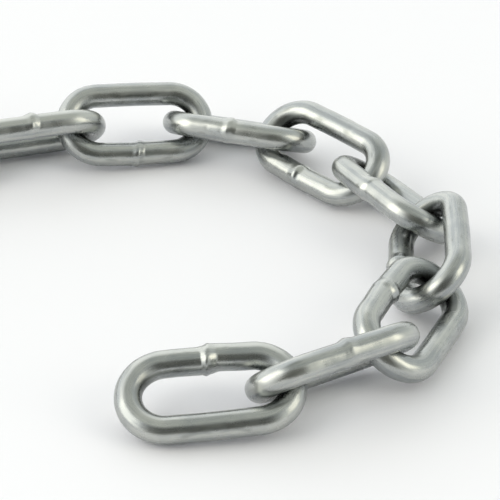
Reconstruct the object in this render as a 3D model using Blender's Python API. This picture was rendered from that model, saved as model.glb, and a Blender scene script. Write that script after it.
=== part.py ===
"""A run of welded steel chain, lying in a loose hook on a level floor.

Every link is one piece of round zinc-plated wire, bent to a long oval and
butt-welded in the middle of one side. The links lie as chain does when it is
set down by hand: each leans over onto one of its side wires, at most half a
right angle from the floor, and its neighbours lean the other way.

Units are metres, +Z is up, and the floor is Z = 0.
"""

import math

import bpy
import numpy as np
from mathutils import Matrix, Vector

# Driving dimensions of the chain
WIRE_DIAMETER = 0.004
LINK_PITCH = 0.019
LINK_INSIDE_WIDTH = 0.0064
SEAT_GAP = 0.0003

# The swelling that the butt weld leaves round the wire
WELD_SWELL = 1.15
WELD_CREST_HALF_LENGTH = 0.0007
WELD_HALF_LENGTH = 0.0018

# Fineness of the bent wire
CROWN_STEPS = 8
WIRE_SIDES_SETTING = 4
SEAT_STEPS = 64
SIDE_STEPS = 24
SEAT_SEARCH_STEP = 0.0001

# The link that the others swing from, and the colour and finish of the plating
HELD_LINK = 8
ZINC_COLOUR = (0.62, 0.63, 0.62, 1.0)
ZINC_ROUGHNESS = 0.28

# How each link lies, from the free end on, in degrees: the way it points along
# the floor, the rise of its far end and its lean to one side
LAY = (
    (6, 3, 23),
    (27, 3, 135),
    (65, -2, 34),
    (87, 2, -41),
    (121, -1, 33),
    (133, 1, -36),
    (163, 0, 28),
    (191, 3, -42),
    (197, 0, 44),
    (189, 0, -45),
    (184, 0, 44),
    (179, 0, -45),
    (176, 0, 45),
    (175, 0, -44),
    (177, 0, 45),
    (181, 0, -45),
)

WIRE_RADIUS = WIRE_DIAMETER / 2
CROWN_RADIUS = (LINK_INSIDE_WIDTH + WIRE_DIAMETER) / 2
CROWN_CENTRE = (LINK_PITCH + WIRE_DIAMETER) / 2 - CROWN_RADIUS
LINK_REACH = CROWN_CENTRE + CROWN_RADIUS


def clear_scene():
    for item in list(bpy.data.objects):
        bpy.data.objects.remove(item, do_unlink=True)


def crown_points(end, steps):
    """The middle of the wire round one crown, at +X for end 1 and at -X for end -1."""
    points = []
    for step in range(steps + 1):
        angle = math.pi * (step / steps - 0.5)
        along = CROWN_CENTRE + CROWN_RADIUS * math.cos(angle)
        across = CROWN_RADIUS * math.sin(angle)
        points.append(Vector((end * along, end * across, 0.0)))
    return points


def half_loop(end):
    """The middle of the wire over one half of a link: a crown and the side wires next to it."""
    crown = crown_points(end, SEAT_STEPS)
    runs = [step / SIDE_STEPS for step in range(SIDE_STEPS)]
    before = [Vector((crown[0].x * run, crown[0].y, 0.0)) for run in runs]
    after = [Vector((crown[-1].x * run, crown[-1].y, 0.0)) for run in reversed(runs)]
    return before + crown + after


def link_curve():
    """One closed loop of wire, flat in X and Y, with its weld on the +Y side."""
    weld = [
        (WELD_HALF_LENGTH, 1.0),
        (WELD_CREST_HALF_LENGTH, WELD_SWELL),
        (-WELD_CREST_HALF_LENGTH, WELD_SWELL),
        (-WELD_HALF_LENGTH, 1.0),
    ]
    stations = [(point, 1.0) for point in crown_points(1, CROWN_STEPS)]
    stations += [(Vector((x, CROWN_RADIUS, 0.0)), swell) for x, swell in weld]
    stations += [(point, 1.0) for point in crown_points(-1, CROWN_STEPS)]

    curve = bpy.data.curves.new("link_wire", "CURVE")
    curve.dimensions = "3D"
    curve.bevel_depth = WIRE_RADIUS
    curve.bevel_resolution = WIRE_SIDES_SETTING
    spline = curve.splines.new("POLY")
    spline.points.add(len(stations) - 1)
    for point, (place, swell) in zip(spline.points, stations):
        point.co = (*place, 1.0)
        point.radius = swell
    spline.use_cyclic_u = True
    spline.use_smooth = True
    return curve


def zinc_plated_steel():
    material = bpy.data.materials.new("zinc_plated_steel")
    material.use_nodes = True
    surface = material.node_tree.nodes["Principled BSDF"]
    surface.inputs["Base Color"].default_value = ZINC_COLOUR
    surface.inputs["Metallic"].default_value = 1.0
    surface.inputs["Roughness"].default_value = ZINC_ROUGHNESS
    return material


def link_mesh():
    """The wire's surface as one mesh, which all the links share."""
    guide = bpy.data.objects.new("link_guide", link_curve())
    bpy.context.scene.collection.objects.link(guide)
    bpy.context.view_layer.update()
    evaluated = guide.evaluated_get(bpy.context.evaluated_depsgraph_get())
    mesh = bpy.data.meshes.new_from_object(evaluated)
    mesh.name = "link"
    bpy.data.objects.remove(guide, do_unlink=True)
    mesh.materials.clear()
    mesh.materials.append(zinc_plated_steel())
    mesh.shade_smooth()
    return mesh


def turn_of(heading, rise, lean):
    """A link's rotation: leaned about its length, then raised, then headed."""
    turn = Matrix.Rotation(math.radians(heading), 3, "Z")
    turn = turn @ Matrix.Rotation(-math.radians(rise), 3, "Y")
    return turn @ Matrix.Rotation(math.radians(lean), 3, "X")


def turned(points, turn):
    return np.array(points) @ np.array(turn).T


def smallest_distance(one, other):
    """How far apart the nearest points of two lists are."""
    return np.linalg.norm(one[:, None] - other[None], axis=2).min()


def seated_place(mine, theirs, start, heading):
    """Where a link ends up when it is pulled along its heading, free to settle sideways.

    The pull goes on as long as the wire of the two links keeps its gap, and the
    place kept is the one that lets the link come out furthest.
    """
    angle = math.radians(heading)
    onward = np.array((math.cos(angle), math.sin(angle), 0.0))
    leftward = np.array((-onward[1], onward[0], 0.0))
    for back in np.arange(WIRE_RADIUS, 2 * WIRE_DIAMETER, SEAT_SEARCH_STEP):
        for shift in np.arange(-WIRE_RADIUS, WIRE_RADIUS, SEAT_SEARCH_STEP):
            place = start + leftward * shift - onward * back
            if smallest_distance(mine + place, theirs) >= WIRE_DIAMETER + SEAT_GAP:
                return place
    raise ValueError(f"the link heading {heading} has no seat")


def lay_chain(surface):
    """Each link's rotation and place.

    A link is lowered until it touches the floor, then drawn out along its
    heading until its near crown seats on the crown it hooks.
    """
    near_half = half_loop(-1)
    far_half = half_loop(1)
    links = []
    reach = Vector((LINK_REACH, 0.0, 0.0))
    for heading, rise, lean in LAY:
        turn = turn_of(heading, rise, lean)
        height = -turned(surface, turn)[:, 2].min()
        if not links:
            links.append((turn, Vector((0.0, 0.0, height))))
            continue
        last_turn, last_place = links[-1]
        start = last_place + last_turn @ reach + turn @ reach
        start.z = height
        mine = turned(near_half, turn)
        theirs = turned(far_half, last_turn) + np.array(last_place)
        place = seated_place(mine, theirs, np.array(start), heading)
        links.append((turn, Vector(place)))
    return links


def centre_over_floor(links, surface):
    """The links moved along the floor so that the chain's box is centred on the origin."""
    everything = np.vstack([turned(surface, turn) + np.array(place) for turn, place in links])
    middle = (everything.min(axis=0) + everything.max(axis=0)) / 2
    shift = Vector((-middle[0], -middle[1], 0.0))
    return [(turn, place + shift) for turn, place in links]


def swing_spot(link, neighbour, end):
    """Where a link swings on its neighbour, which it hooks with its crown at this end.

    A link swings in its own plane, so the spot is where the middle of the
    neighbour's wire crosses that plane inside the hooking crown.
    """
    turn, place = link
    wire = turned(half_loop(-end), neighbour[0]) + np.array(neighbour[1])
    seen_from_link = turned(wire - np.array(place), turn.transposed())
    crown_centre = np.array((end * CROWN_CENTRE, 0.0, 0.0))
    crossings = []
    for before, after in zip(seen_from_link[:-1], seen_from_link[1:]):
        if before[2] * after[2] <= 0:
            share = before[2] / (before[2] - after[2])
            crossings.append(before + share * (after - before))
    nearest = min(crossings, key=lambda point: np.linalg.norm(point - crown_centre))
    return place + turn @ Vector(nearest)


def link_name(number):
    return f"link_{number:02d}"


def swing_empty(number, spot, turn, collection):
    """An empty at the spot that a link swings about, with its Z square to the link's plane."""
    empty = bpy.data.objects.new(f"swing_{number:02d}", None)
    empty.empty_display_size = WIRE_DIAMETER
    collection.objects.link(empty)
    empty.matrix_world = Matrix.LocRotScale(spot, turn, None)
    return empty


def hang_from(child, parent, world):
    """Parent a piece and leave it where it is in the world."""
    child.parent = parent
    child.matrix_parent_inverse = Matrix.Identity(4)
    bpy.context.view_layer.update()
    child.matrix_world = world


def build_chain():
    collection = bpy.data.collections.new("chain_run")
    bpy.context.scene.collection.children.link(collection)
    mesh = link_mesh()
    surface = [vertex.co.copy() for vertex in mesh.vertices]
    links = centre_over_floor(lay_chain(surface), surface)

    pieces = []
    for number, (turn, place) in enumerate(links, start=1):
        piece = bpy.data.objects.new(link_name(number), mesh)
        collection.objects.link(piece)
        piece.matrix_world = Matrix.LocRotScale(place, turn, None)
        pieces.append(piece)
    bpy.context.view_layer.update()

    # Links before the held one swing on the next link, which they hook with
    # their far crown, and those after it on the last link, with their near crown
    for number, piece in enumerate(pieces, start=1):
        if number == HELD_LINK:
            continue
        end = 1 if number < HELD_LINK else -1
        link = links[number - 1]
        spot = swing_spot(link, links[number - 1 + end], end)
        empty = swing_empty(number, spot, link[0], collection)
        bpy.context.view_layer.update()
        placed = piece.matrix_world.copy()
        hang_from(empty, pieces[number - 1 + end], empty.matrix_world.copy())
        bpy.context.view_layer.update()
        hang_from(piece, empty, placed)
    bpy.context.view_layer.update()


clear_scene()
build_chain()
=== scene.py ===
"""The looks of a run of zinc-plated welded chain, built round its CAD part.

Units are metres, +Z is up, and the CAD part's floor is at Z = 0.
"""

import math
import random

import bmesh
import bpy
import numpy as np
from mathutils import Matrix, Vector, noise


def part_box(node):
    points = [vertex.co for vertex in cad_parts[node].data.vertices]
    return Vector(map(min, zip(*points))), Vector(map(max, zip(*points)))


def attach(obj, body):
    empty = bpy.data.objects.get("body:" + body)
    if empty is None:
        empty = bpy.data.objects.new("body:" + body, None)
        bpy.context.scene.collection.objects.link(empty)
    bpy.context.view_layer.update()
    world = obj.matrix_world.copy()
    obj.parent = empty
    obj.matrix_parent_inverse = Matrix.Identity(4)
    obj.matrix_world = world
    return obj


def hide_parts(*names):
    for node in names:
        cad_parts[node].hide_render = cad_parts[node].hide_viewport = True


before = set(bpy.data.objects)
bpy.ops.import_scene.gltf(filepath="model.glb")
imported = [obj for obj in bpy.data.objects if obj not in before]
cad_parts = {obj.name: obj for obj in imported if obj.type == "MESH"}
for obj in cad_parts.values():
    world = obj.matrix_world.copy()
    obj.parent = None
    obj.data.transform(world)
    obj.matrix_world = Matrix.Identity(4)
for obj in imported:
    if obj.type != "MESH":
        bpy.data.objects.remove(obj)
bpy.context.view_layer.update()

# The camera looks down on the free end of the chain from about a third of a
# right angle, with a long lens, held not quite level, and the rest of the
# chain runs out of view to the left.
VIEW_ELEVATION = math.radians(31.9)
VIEW_AZIMUTH = math.radians(-0.96)
VIEW_ROLL = math.radians(0.8)
VIEW_DISTANCE = 0.3115
VIEW_TARGET = Vector((0.0731, 0.0061, 0.0))
SENSOR_WIDTH_IN_MM = 36.0
LENS_IN_MM = 141.2
NEAREST_IN_VIEW = 0.01

camera = bpy.data.objects.new("camera", bpy.data.cameras.new("camera"))
bpy.context.scene.collection.objects.link(camera)
camera.data.sensor_width = SENSOR_WIDTH_IN_MM
camera.data.lens = LENS_IN_MM
camera.data.clip_start = NEAREST_IN_VIEW
aim = Matrix.Rotation(VIEW_AZIMUTH, 3, "Z")
aim = aim @ Matrix.Rotation(math.pi / 2 - VIEW_ELEVATION, 3, "X")
camera.location = VIEW_TARGET + aim @ Vector((0.0, 0.0, VIEW_DISTANCE))
camera.rotation_euler = (aim @ Matrix.Rotation(VIEW_ROLL, 3, "Z")).to_euler()
bpy.context.scene.camera = camera

# The links. Each is a cropped length of drawn round mild-steel wire, bent to a
# long oval on a former and butt-welded under pressure in the middle of one
# side. The weld pushes up a lumpy collar and leaves that side a little kinked.
MM = 0.001
WIRE_RADIUS = 2.0 * MM
LINK_PITCH = 19.0 * MM
LINK_INSIDE_WIDTH = 6.4 * MM
CROWN_RADIUS = LINK_INSIDE_WIDTH / 2 + WIRE_RADIUS
CROWN_CENTRE = LINK_PITCH / 2 + WIRE_RADIUS - CROWN_RADIUS
HALF_WIDTH = CROWN_RADIUS + WIRE_RADIUS

# How fine the wire's mesh is, which is finest near the weld
WIRE_SIDES = 64
CROWN_STEPS = 60
SIDE_STEPS = 36
WELD_ZONE = 2.6 * MM
WELD_STEPS = 26
MERGE_DISTANCE = 0.01 * MM


def bent_wire():
    """One closed loop of wire, flat in X and Y, with its weld in the middle of the +Y side."""
    form = bmesh.new()
    at_weld = Matrix.Translation((0.0, CROWN_RADIUS, 0.0)) @ Matrix.Rotation(
        math.pi / 2, 4, "Y"
    )
    bmesh.ops.create_circle(form, radius=WIRE_RADIUS, segments=WIRE_SIDES, matrix=at_weld)

    def ring_of(geom):
        verts = {item for item in geom if isinstance(item, bmesh.types.BMVert)}
        edges = [item for item in geom if isinstance(item, bmesh.types.BMEdge)]
        return [edge for edge in edges if verts.issuperset(edge.verts)]

    def draw_on(ring, steps):
        for step in steps:
            made = bmesh.ops.extrude_edge_only(form, edges=ring)["geom"]
            ring = ring_of(made)
            moved = {vert for edge in ring for vert in edge.verts}
            bmesh.ops.translate(form, verts=list(moved), vec=(step, 0.0, 0.0))
        return ring

    def bend(ring, centre):
        verts = {vert for edge in ring for vert in edge.verts}
        turned = bmesh.ops.spin(
            form,
            geom=ring + list(verts),
            cent=(centre, 0.0, 0.0),
            axis=(0.0, 0.0, -1.0),
            angle=math.pi,
            steps=CROWN_STEPS,
            use_duplicate=False,
        )
        return ring_of(turned["geom_last"])

    plain_steps = SIDE_STEPS // 3
    fine = [WELD_ZONE / WELD_STEPS] * WELD_STEPS
    plain = [(CROWN_CENTRE - WELD_ZONE) / plain_steps] * plain_steps
    ring = draw_on(form.edges[:], fine + plain)
    ring = bend(ring, CROWN_CENTRE)
    ring = draw_on(ring, [-2 * CROWN_CENTRE / SIDE_STEPS] * SIDE_STEPS)
    ring = bend(ring, -CROWN_CENTRE)
    draw_on(ring, plain + fine)
    bmesh.ops.remove_doubles(form, verts=form.verts, dist=MERGE_DISTANCE)
    bmesh.ops.recalc_face_normals(form, faces=form.faces)
    return form


def places_on_wire(points):
    """Where each point lies on the plain wire.

    Gives how far along the wire it is from the weld, how far outward and up
    from the wire's middle line, how far round the crown, from 0 on the welded
    side to pi on the plain one, and its direction from the middle line, which
    is 1 long on the wire's surface.
    """
    x, y, up = points.T
    on_welded_side = (np.abs(x) <= CROWN_CENTRE) & (y > 0)
    bend = np.arctan2(np.maximum(np.abs(x) - CROWN_CENTRE, 0.0), y)
    past_crown = CROWN_CENTRE - np.minimum(np.abs(x), CROWN_CENTRE)
    beyond_side = CROWN_CENTRE + bend * CROWN_RADIUS + past_crown
    along = np.where(on_welded_side, np.abs(x), beyond_side)

    arm = np.stack((x - np.clip(x, -CROWN_CENTRE, CROWN_CENTRE), y), axis=1)
    arm_length = np.linalg.norm(arm, axis=1)
    out = arm_length - CROWN_RADIUS
    outward = arm / arm_length[:, None]
    radial = np.column_stack((outward * out[:, None], up)) / WIRE_RADIUS
    return along, out, up, bend, radial


def smooth_fall(distance, reach):
    """1 at no distance, 0 from the reach on, with an easy start and end."""
    share = np.clip(1.0 - distance / reach, 0.0, 1.0)
    return share * share * (3.0 - 2.0 * share)


# How far each link's weld pushes its side out, how far its two wire ends miss
# each other and how proud its collar stands, in millimetres, and where round
# the wire the collar is fullest, in degrees from the outer side
WELDS = {
    1: (0.28, 0.42, 0.46, 140.0),
    2: (0.12, 0.05, 0.22, 262.0),
    3: (0.30, -0.10, 0.30, 115.0),
    5: (0.20, 0.06, 0.18, 60.0),
    6: (0.24, 0.05, 0.16, 90.0),
    7: (0.72, 0.12, 0.30, 60.0),
    8: (0.26, 0.14, 0.36, 80.0),
    9: (0.20, 0.12, 0.34, 60.0),
}

# How far the two lips of the collar reach along the wire, how far the groove
# between them tilts, wanders and lies off their middle, and its half width
# and depth
LIP_REACHES = (1.1 * MM, 1.6 * MM)
GROOVE_TILT = 0.25 * MM
GROOVE_WANDER = 0.12 * MM
GROOVE_SHIFT = 0.15 * MM
GROOVE_REACH = 0.55 * MM
GROOVE_DEPTH = 0.028 * MM


def lump_at(number, along, angle):
    """The weld's lumps at one point, from about -1 to 1: broad ones, with small ones on them."""
    broad = Vector((3.1 * number, 1.7 * math.cos(angle), 1.7 * math.sin(angle)))
    small_start = 7.7 * number + 0.9 * along / MM
    small = Vector((small_start, 3.4 * math.cos(angle), 3.4 * math.sin(angle)))
    return noise.noise(broad) + 0.5 * noise.noise(small)


def weld_collar(rng, number, signed, around, proud, fullest):
    """How far the weld swells the wire, in two lips with a soft groove between them.

    The groove wanders as it goes round. The collar is full on one side of the
    wire and thin on the other, and the groove is deepest between its biggest
    lumps.
    """
    turn = rng.uniform(0.0, 2 * math.pi)
    lumps = np.array([lump_at(number, *place) for place in zip(signed, around)])
    wander = GROOVE_WANDER * np.sin(2 * around + 3 * turn)
    shift = GROOVE_TILT * np.cos(around - turn) + wander
    short_lip, long_lip = LIP_REACHES
    collar = smooth_fall(np.abs(signed - shift), np.where(signed > shift, long_lip, short_lip))
    groove = smooth_fall(np.abs(signed - shift + GROOVE_SHIFT), GROOVE_REACH)
    fuller = (1.0 + np.cos(around - math.radians(fullest))) / 2
    fullness = 0.15 + 1.05 * fuller**2 + 0.28 * lumps
    cut = np.clip(0.7 + 1.6 * lumps, 0.1, 1.3)
    return proud * MM * fullness * collar - GROOVE_DEPTH * groove * cut


# How far along the wire a welding jaw presses, and how deep
JAW_REACH = 1.9 * MM
JAW_DEPTH = 0.04 * MM


def jaw_flats(rng, signed, around):
    """How deep the welding jaws press their faint flats, on the outer side by the weld.

    There is one on either side of the weld, some 3.5 mm from it.
    """
    depth = np.zeros(len(signed))
    for jaw in (-1.0, 1.0):
        place = jaw * rng.uniform(3.2, 3.9) * MM
        bite = smooth_fall(np.abs(signed - place), JAW_REACH)
        angle = rng.uniform(-0.4, 0.4)
        facing = np.clip(np.cos(around - angle), 0.0, 1.0)
        depth += JAW_DEPTH * bite * facing**4
    return depth


# Half of a link's wire, from the weld to the middle of the plain side
HALF_LOOP = 2 * CROWN_CENTRE + math.pi * CROWN_RADIUS
DINT_COUNT = 34


def dints(rng, signed, around):
    """How deep the small dints from tumbling are."""
    depth = np.zeros(len(signed))
    for _ in range(DINT_COUNT):
        place = rng.uniform(-1.0, 1.0) * HALF_LOOP
        angle = rng.uniform(0.0, 2 * math.pi)
        size = rng.uniform(0.5, 1.4) * MM
        turned = np.abs((around - angle + math.pi) % (2 * math.pi) - math.pi)
        gap = np.hypot(signed - place, WIRE_RADIUS * turned)
        depth += rng.uniform(0.01, 0.035) * MM * smooth_fall(gap, size)
    return depth


# What the random draws start from, so that each run gives the same links
LINK_SEED = 40

# How thin the bends draw, how high and long the unevenness is, and how far
# the kink, the plain side's barrel and the miss of the two wire ends reach
BEND_THINNING = 0.05 * MM
UNEVEN_HEIGHT = 0.016 * MM
UNEVEN_LENGTH = 2.6 * MM
KINK_BLUNTNESS = 0.8 * MM
KINK_REACH = CROWN_CENTRE + 5.0 * MM
BARREL_HEIGHT = 0.1 * MM
BARREL_REACH = CROWN_CENTRE + 2.0 * MM
MISS_STEP = 0.25 * MM
MISS_REACH = 5.5 * MM
MOST_MISS_UPWARD = 0.12 * MM

# How much further along one long wire the patterns of each next link start, in
# millimetres, which is more than a link's own wire, so that no two links match
WIRE_APART = 90.0


def shape_wire(mesh, number):
    """Give one link's wire its weld, its kink and the small marks of bending and tumbling.

    Also stores, in millimetres, how far along the wire each point lies from
    the weld, and how far outward and up from its middle line: once for the
    painted shade inside the crowns, and once with each link further along one
    long wire, for the patterns that follow it.
    """
    rng = random.Random(LINK_SEED + number)
    points = np.empty(3 * len(mesh.vertices))
    mesh.vertices.foreach_get("co", points)
    points = points.reshape(-1, 3)
    x, y = points[:, 0], points[:, 1]
    along, out, up, bend, radial = places_on_wire(points)

    # How far along from the weld, below 0 towards -X, and the angle round the
    # wire from its outer side
    signed = np.where(x < 0, -along, along)
    around = np.arctan2(up, out)

    # A link whose weld can't be seen takes one by chance. The draws are made for
    # every link, so that the ones after them stay the same.
    any_weld = (
        rng.uniform(0.1, 0.34),
        rng.uniform(-0.2, 0.2),
        rng.uniform(0.24, 0.32),
        rng.uniform(0.0, 360.0),
    )
    kink, miss, proud, fullest = WELDS.get(number, any_weld)

    # The wire draws a little thin on the outside of each bend, has the marks of
    # its weld and of tumbling, and is slightly uneven from its plating
    round_bend = smooth_fall(np.abs(bend - math.pi / 2), math.pi / 2)
    swell = -BEND_THINNING * round_bend * (1.0 + np.cos(around)) / 2
    swell += weld_collar(rng, number, signed, around, proud, fullest)
    swell -= jaw_flats(rng, signed, around)
    swell -= dints(rng, signed, around)
    start = Vector((number, 0.0, 0.0))
    swell += UNEVEN_HEIGHT * np.array(
        [noise.noise(Vector(point) / UNEVEN_LENGTH + start) for point in points]
    )
    shaped = points + radial * swell[:, None]

    # The kink at the weld, the barrel of the plain side and the miss of the two
    # ends, outward and upward
    kinked = kink * MM * smooth_fall(np.hypot(along, KINK_BLUNTNESS), KINK_REACH)
    barrelled = BARREL_HEIGHT * smooth_fall(np.abs(x), BARREL_REACH)
    missed = np.tanh(signed / MISS_STEP) * smooth_fall(along, MISS_REACH)
    push = np.where(y > 0, kinked, barrelled) + 0.5 * miss * MM * missed
    shaped[:, 1] += np.sign(y) * push * np.cos(bend) ** 2
    shaped[:, 2] += rng.uniform(-MOST_MISS_UPWARD, MOST_MISS_UPWARD) * missed
    mesh.vertices.foreach_set("co", shaped.ravel())

    on_wire = np.stack((along, out, up), axis=1) / MM
    for name, further in (("place_on_wire", 0.0), ("along_wire", WIRE_APART * number)):
        stored = mesh.attributes.new(name, "FLOAT_VECTOR", "POINT")
        stored.data.foreach_set("vector", (on_wire + (further, 0.0, 0.0)).ravel())
    mesh.update()


def lie_of(node, onward):
    """How a CAD link lies, as a matrix of its length, welded side, plane's normal and centre.

    The three are the main axes of its surface, so they follow the CAD part
    however it is laid. The length points onward along the chain.
    """
    mesh = node.data
    mesh.calc_loop_triangles()
    points = np.array([vert.co for vert in mesh.vertices])
    corners = points[np.array([tri.vertices[:] for tri in mesh.loop_triangles])]
    crossed = np.cross(corners[:, 1] - corners[:, 0], corners[:, 2] - corners[:, 0])
    areas = np.linalg.norm(crossed, axis=1) / 2
    weights = areas / areas.sum()
    middle = (corners.mean(axis=1) * weights[:, None]).sum(axis=0)

    # The spread of a triangle's surface is that of its corners and their sum
    arms = corners - middle
    spread = np.zeros((3, 3))
    for arm in (arms[:, 0], arms[:, 1], arms[:, 2], arms.sum(axis=1)):
        spread += np.einsum("n,ni,nj->ij", weights, arm, arm)
    plane, across, length = np.linalg.eigh(spread)[1].T
    if np.dot(length, onward) < 0:
        length = -length

    # Abreast of the middle, the side with the weld's collar reaches further
    abreast = points[np.abs((points - middle) @ length) < WELD_ZONE] - middle
    if (abreast @ across).max() < -(abreast @ across).min():
        across = -across
    plane = np.cross(length, across)
    local = (points - middle) @ np.stack((length, across, plane), axis=1)
    low, high = local.min(axis=0), local.max(axis=0)
    centre = Vector(middle)
    centre += Vector(length) * (low[0] + high[0]) / 2
    centre += Vector(across) * (low[1] + HALF_WIDTH)
    centre += Vector(plane) * (low[2] + high[2]) / 2
    lie = Matrix((length, across, plane)).transposed().to_4x4()
    lie.translation = centre
    return lie


# The surface is bright zinc plate on tumbled wire: a satin gloss, cool grey,
# with faint lines along the wire from drawing and a soft mottle from the bath.
def linear(hex_colour):
    """An sRGB hex colour as linear red, green and blue, with alpha."""
    colour = []
    for start in (1, 3, 5):
        channel = int(hex_colour[start : start + 2], 16) / 255
        if channel <= 0.04045:
            colour.append(channel / 12.92)
        else:
            colour.append(((channel + 0.055) / 1.055) ** 2.4)
    return (*colour, 1.0)


def add_node(tree, kind, settings=(), values=(), links=()):
    """Add a node, with its settings, its input values and the sockets that feed its inputs."""
    node = tree.nodes.new(kind)
    for name, value in dict(settings).items():
        setattr(node, name, value)
    for name, value in dict(values).items():
        node.inputs[name].default_value = value
    for name, socket in dict(links).items():
        tree.links.new(socket, node.inputs[name])
    return node


zinc_plated_steel = bpy.data.materials.new("zinc_plated_steel")
zinc_plated_steel.use_nodes = True
tree = zinc_plated_steel.node_tree
surface = tree.nodes["Principled BSDF"]
surface.inputs["Metallic"].default_value = 1.0

place = add_node(tree, "ShaderNodeTexCoord").outputs["Object"]
wire = add_node(
    tree, "ShaderNodeAttribute", {"attribute_name": "along_wire"}
).outputs["Vector"]

# Mottle: patches some 4 mm across, darker and cooler where the plate is thicker
mottle = add_node(
    tree, "ShaderNodeTexNoise", values={"Scale": 0.26 / MM, "Detail": 3.0}, links={"Vector": place}
)

# Streaks: drawn along the wire, about 1 mm wide and 18 mm long, where the
# plate took a little darker and cooler over the die marks. The wire's own
# places are in millimetres, and so are the scales of what follows it.
streak_run = add_node(
    tree, "ShaderNodeMapping", values={"Scale": (0.06, 1.0, 1.0)}, links={"Vector": wire}
)
streaks = add_node(
    tree,
    "ShaderNodeTexNoise",
    values={"Scale": 0.9, "Detail": 4.0, "Roughness": 0.62},
    links={"Vector": streak_run.outputs["Vector"]},
)
patchy = add_node(
    tree,
    "ShaderNodeMix",
    values={"Factor": 0.7},
    links={"A": mottle.outputs["Fac"], "B": streaks.outputs["Fac"]},
)
tint = add_node(tree, "ShaderNodeValToRGB", links={"Fac": patchy.outputs["Result"]})
darker, lighter = tint.color_ramp.elements
darker.position = 0.4
darker.color = linear("#9b9fa0")
lighter.position = 0.6
lighter.color = linear("#babcb8")

# Handling marks: rare soft dark rubs, 2 to 4 mm long, where links slid together
rub_run = add_node(
    tree, "ShaderNodeMapping", values={"Scale": (0.3, 1.0, 1.0)}, links={"Vector": wire}
)
rub_noise = add_node(
    tree,
    "ShaderNodeTexNoise",
    values={"Scale": 0.6, "Detail": 2.0},
    links={"Vector": rub_run.outputs["Vector"]},
)
rubs = add_node(
    tree,
    "ShaderNodeMapRange",
    values={"From Min": 0.62, "From Max": 0.8},
    links={"Value": rub_noise.outputs["Fac"]},
)
rubbed = add_node(
    tree,
    "ShaderNodeMix",
    {"data_type": "RGBA"},
    {"B": linear("#7c7f7c")},
    {"Factor": rubs.outputs["Result"], "A": tint.outputs["Color"]},
)

# Painted shade in the crevices: the inside of each crown, some 5 mm either way
# from its middle, is painted darker where the next link bears and shade falls
CROWN_MIDDLE_IN_MM = (CROWN_CENTRE + CROWN_RADIUS * math.pi / 2) / MM
on_wire = add_node(tree, "ShaderNodeAttribute", {"attribute_name": "place_on_wire"})
spot = add_node(tree, "ShaderNodeSeparateXYZ", links={"Vector": on_wire.outputs["Vector"]})
past_crown = add_node(
    tree,
    "ShaderNodeMath",
    {"operation": "SUBTRACT"},
    {1: CROWN_MIDDLE_IN_MM},
    {0: spot.outputs["X"]},
)
from_crown = add_node(
    tree, "ShaderNodeMath", {"operation": "ABSOLUTE"}, links={0: past_crown.outputs["Value"]}
)
near_crown = add_node(
    tree,
    "ShaderNodeMapRange",
    {"interpolation_type": "SMOOTHSTEP"},
    {"From Min": 7.5, "From Max": 3.0},
    {"Value": from_crown.outputs["Value"]},
)
inside_bend = add_node(
    tree,
    "ShaderNodeMapRange",
    {"interpolation_type": "SMOOTHSTEP"},
    {"From Min": -0.6, "From Max": -1.8, "To Max": 0.7},
    {"Value": spot.outputs["Y"]},
)
# How much painted shade each point inside a crown takes
crevice_shade = add_node(
    tree,
    "ShaderNodeMath",
    {"operation": "MULTIPLY"},
    links={0: near_crown.outputs["Result"], 1: inside_bend.outputs["Result"]},
)
# The dark colour of the painted crevice shade, mixed into the base colour
crevice_shaded = add_node(
    tree,
    "ShaderNodeMix",
    {"data_type": "RGBA"},
    {"B": linear("#484a47")},
    {"Factor": crevice_shade.outputs["Value"], "A": rubbed.outputs["Result"]},
)
tree.links.new(crevice_shaded.outputs["Result"], surface.inputs["Base Color"])

# Gloss: satin, duller in patches some 2.5 mm across and in some of the streaks
dull_patches = add_node(
    tree, "ShaderNodeTexNoise", values={"Scale": 0.42 / MM, "Detail": 2.0}, links={"Vector": place}
)
gloss = add_node(
    tree,
    "ShaderNodeMix",
    values={"Factor": 0.5},
    links={"A": dull_patches.outputs["Fac"], "B": streaks.outputs["Fac"]},
)
roughness = add_node(
    tree,
    "ShaderNodeMapRange",
    values={"From Min": 0.35, "From Max": 0.65, "To Min": 0.23, "To Max": 0.32},
    links={"Value": gloss.outputs["Result"]},
)
tree.links.new(roughness.outputs["Result"], surface.inputs["Roughness"])

# Draw lines, about half a millimetre apart round the wire and 4 mm long, with
# finer ones between, and the fine ripple of the plate, under a millimetre
# across. Both stand no more than 0.04 mm high.
line_run = add_node(
    tree, "ShaderNodeMapping", values={"Scale": (0.12, 1.0, 1.0)}, links={"Vector": wire}
)
lines = add_node(
    tree,
    "ShaderNodeTexNoise",
    values={"Scale": 2.2, "Detail": 3.0, "Roughness": 0.6},
    links={"Vector": line_run.outputs["Vector"]},
)
ripple = add_node(
    tree, "ShaderNodeTexNoise", values={"Scale": 1.1 / MM, "Detail": 3.0}, links={"Vector": place}
)
line_bump = add_node(
    tree,
    "ShaderNodeBump",
    values={"Strength": 0.2, "Distance": 0.04 * MM},
    links={"Height": lines.outputs["Fac"]},
)
ripple_bump = add_node(
    tree,
    "ShaderNodeBump",
    values={"Strength": 0.3, "Distance": 0.04 * MM},
    links={"Height": ripple.outputs["Fac"], "Normal": line_bump.outputs["Normal"]},
)
tree.links.new(ripple_bump.outputs["Normal"], surface.inputs["Normal"])


def link_name(number):
    return f"link_{number:02d}"


def middle_of(number):
    """The middle of a CAD link's box."""
    low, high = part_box(link_name(number))
    return (low + high) / 2


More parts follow.
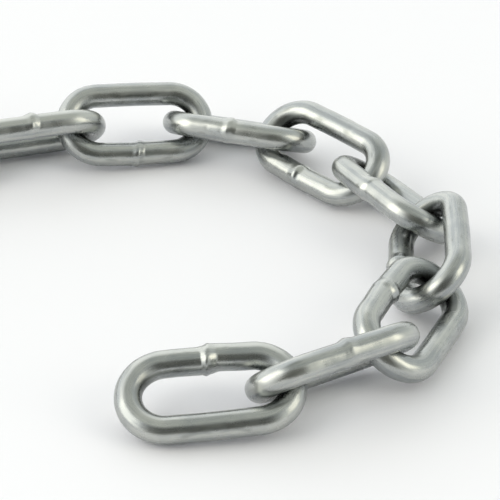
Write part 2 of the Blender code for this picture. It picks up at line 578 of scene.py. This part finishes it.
wire_form = bent_wire()
link_count = len(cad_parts)
for number in range(1, link_count + 1):
    node_name = link_name(number)
    first = min(number, link_count - 1)
    onward = middle_of(first + 1) - middle_of(first)
    mesh = bpy.data.meshes.new(f"bright_{node_name}")
    wire_form.to_mesh(mesh)
    shape_wire(mesh, number)
    mesh.transform(lie_of(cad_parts[node_name], onward))
    mesh.shade_smooth()
    mesh.materials.append(zinc_plated_steel)
    bright_link = bpy.data.objects.new(mesh.name, mesh)
    bpy.context.scene.collection.objects.link(bright_link)
    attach(bright_link, node_name)
    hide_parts(node_name)
wire_form.free()

# The floor is a wide sheet of matt white board, lit evenly. It lies a hair
# below the lowest wire, because the plated wire is rounder than the CAD part's.
FLOOR_REACH = 3.0
FLOOR_DROP = 0.35 * MM
floor_form = bmesh.new()
bmesh.ops.create_grid(floor_form, x_segments=1, y_segments=1, size=FLOOR_REACH)
bmesh.ops.translate(floor_form, verts=floor_form.verts, vec=(0.0, 0.0, -FLOOR_DROP))
floor_mesh = bpy.data.meshes.new("floor")
floor_form.to_mesh(floor_mesh)
floor_form.free()
white_board = bpy.data.materials.new("matt_white_board")
white_board.use_nodes = True
board = white_board.node_tree.nodes["Principled BSDF"]
board.inputs["Base Color"].default_value = linear("#f5f5fb")
board.inputs["Roughness"].default_value = 0.9
floor_mesh.materials.append(white_board)
floor = bpy.data.objects.new("floor", floor_mesh)
bpy.context.scene.collection.objects.link(floor)


# The light is soft, as in a small photographer's tent. Two tall warm softboxes,
# one at either side, put the short bright streaks on the crowns.
def softbox(name, azimuth, elevation, size, brightness, colour):
    """An area light that faces the chain from one metre off.

    Its azimuth is in degrees from +X, towards +Y, its elevation in degrees and
    its size in metres, width first.
    """
    data = bpy.data.lights.new(name, "AREA")
    data.shape = "RECTANGLE"
    data.size, data.size_y = size
    data.energy = math.pi * size[0] * size[1] * brightness
    data.color = linear(colour)[:3]
    light = bpy.data.objects.new(name, data)
    bpy.context.scene.collection.objects.link(light)
    turn = math.radians(azimuth)
    rise = math.radians(elevation)
    direction = Vector((math.cos(turn), math.sin(turn), 0.0)) * math.cos(rise)
    direction.z = math.sin(rise)
    light.location = VIEW_TARGET + direction
    light.rotation_euler = direction.to_track_quat("Z", "Y").to_euler()


softbox("left_softbox", 193.0, 28.0, (0.68, 0.86), 1.45, "#fff8e4")
softbox("right_softbox", -18.0, 30.0, (0.42, 0.64), 1.6, "#fff6de")

# The tent is white cloth, greyer at the right and overhead. Its opening is
# towards the camera, and is dim.
TENT_BRIGHTNESS = 1.5
world = bpy.data.worlds.new("tent")
bpy.context.scene.world = world
world.use_nodes = True
tent = world.node_tree
direction = add_node(tent, "ShaderNodeTexCoord").outputs["Generated"]
level = add_node(
    tent, "ShaderNodeVectorMath", {"operation": "MULTIPLY"}, {1: (1.0, 1.0, 0.0)}, {0: direction}
)
heading = add_node(
    tent, "ShaderNodeVectorMath", {"operation": "NORMALIZE"}, links={0: level.outputs["Vector"]}
).outputs["Vector"]

# From the right wall on, each next part covers the tent towards one side: the
# left wall, the opening and the roof. The two numbers are the cosines of the
# angles from that side where it starts and where it is full.
inside = add_node(tent, "ShaderNodeRGB").outputs["Color"]
inside.default_value = linear("#cdd0cc")
for seen, side, start, full, colour in (
    (heading, (-1.0, 0.0, 0.0), -0.75, 0.15, "#fdfffd"),
    (heading, (0.0, -1.0, 0.0), 0.62, 0.94, "#5c5d58"),
    (direction, (0.0, 0.0, 1.0), 0.72, 0.95, "#b4b7b1"),
):
    nearness = add_node(
        tent, "ShaderNodeVectorMath", {"operation": "DOT_PRODUCT"}, {1: side}, {0: seen}
    )
    cover = add_node(
        tent,
        "ShaderNodeMapRange",
        {"interpolation_type": "SMOOTHSTEP"},
        {"From Min": start, "From Max": full},
        {"Value": nearness.outputs["Value"]},
    )
    inside = add_node(
        tent,
        "ShaderNodeMix",
        {"data_type": "RGBA"},
        {"B": linear(colour)},
        {"Factor": cover.outputs["Result"], "A": inside},
    ).outputs["Result"]
tent.nodes["Background"].inputs["Strength"].default_value = TENT_BRIGHTNESS
tent.links.new(inside, tent.nodes["Background"].inputs["Color"])

bpy.context.scene.view_settings.view_transform = "Standard"
